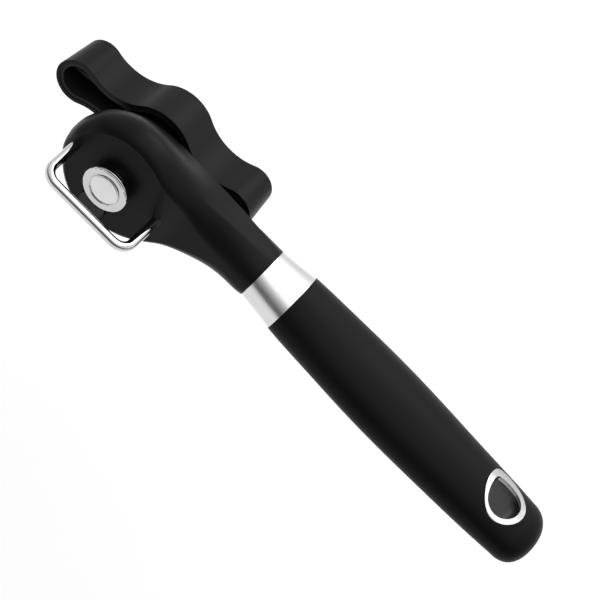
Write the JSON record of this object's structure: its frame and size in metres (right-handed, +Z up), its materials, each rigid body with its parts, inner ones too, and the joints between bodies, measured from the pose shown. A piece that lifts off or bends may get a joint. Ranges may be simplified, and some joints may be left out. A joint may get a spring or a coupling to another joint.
{
  "type": "manual can opener",
  "caption": "Manual can opener with a hand knob, round cutting wheel, toothed feed wheel, wire bail, steel ferrule and oval handle with a hanging eye.",
  "frame": {"origin": "the nip between cutting wheel and feed wheel, where the rim of the can is held", "axes": "+X along the handle towards its end, +Y towards the knob, +Z up when the opener lies on a can"},
  "size_m": [0.2178, 0.0599, 0.0434],
  "materials": {
    "housing_plastic": "fine satin, moulded",
    "knob_plastic": "fine satin, moulded",
    "inner_plastic": "plain moulded",
    "soft_grip": "matte soft touch",
    "zinc_screws": "zinc plated",
    "plain_steel": "stamped",
    "bronze": "sintered",
    "chrome_wire": "bright plated",
    "satin_steel": "satin polished",
    "chrome_trim": "bright plated",
    "cap_steel": "satin",
    "cutter_steel": "polished",
    "black_oxide": "black oxide",
    "gear_steel": "machined"
  },
  "bodies": {
    "frame": {"front_housing": "housing_plastic", "rear_housing": "housing_plastic", "housing_screws": "zinc_screws", "chassis_plate": "plain_steel", "chassis_bridge": "plain_steel", "chassis_posts": "plain_steel", "carrier_bush": "bronze", "feed_front_bush": "bronze", "feed_rear_bush": "bronze", "spindle_front_bush": "bronze", "spindle_rear_bush": "bronze", "carrier_stop_pin": "plain_steel", "wire_bail": "chrome_wire", "handle_tang": "plain_steel", "tang_screws": "zinc_screws", "ferrule": "satin_steel", "handle_core": "inner_plastic", "handle_grip": "soft_grip", "eye_ring_top": "chrome_trim", "eye_ring_bottom": "chrome_trim"},
    "carrier": {"cutter_carrier": "plain_steel", "cutter_cap": "cap_steel", "carrier_stop_disc": "plain_steel", "drag_washer": "plain_steel"},
    "cutter": {"cutting_wheel": "cutter_steel"},
    "feed": {"feed_shaft": "black_oxide", "feed_wheel": "black_oxide", "feed_gear": "gear_steel", "feed_clip": "plain_steel"},
    "knob": {"spindle": "plain_steel", "drive_gear": "gear_steel", "spindle_clip": "plain_steel", "knob_shell": "knob_plastic", "knob_core": "inner_plastic", "knob_washer": "zinc_screws", "knob_screw": "zinc_screws", "knob_cap": "knob_plastic"}
  },
  "joints": [
    {"name": "knob_turn", "type": "hinge", "parent": "frame", "child": "knob", "pos_m": [0, 0.02675, 0.007], "axis": [0, 1, 0], "continuous": true},
    {"name": "feed_turn", "type": "hinge", "parent": "frame", "child": "feed", "pos_m": [0, 0.00675, -0.00405], "axis": [0, 1, 0], "continuous": true},
    {"name": "cutter_throw", "type": "hinge", "parent": "frame", "child": "carrier", "pos_m": [0, 0.00475, 0.0079], "axis": [0, 1, 0], "range_deg": [-120, 0]},
    {"name": "cutter_spin", "type": "hinge", "parent": "carrier", "child": "cutter", "pos_m": [0, -0.00075, 0.007], "axis": [0, 1, 0], "continuous": true}
  ],
  "couplings": [
    {"joint": "feed_turn", "follows": "knob_turn", "ratio": -0.85714}
  ]
}
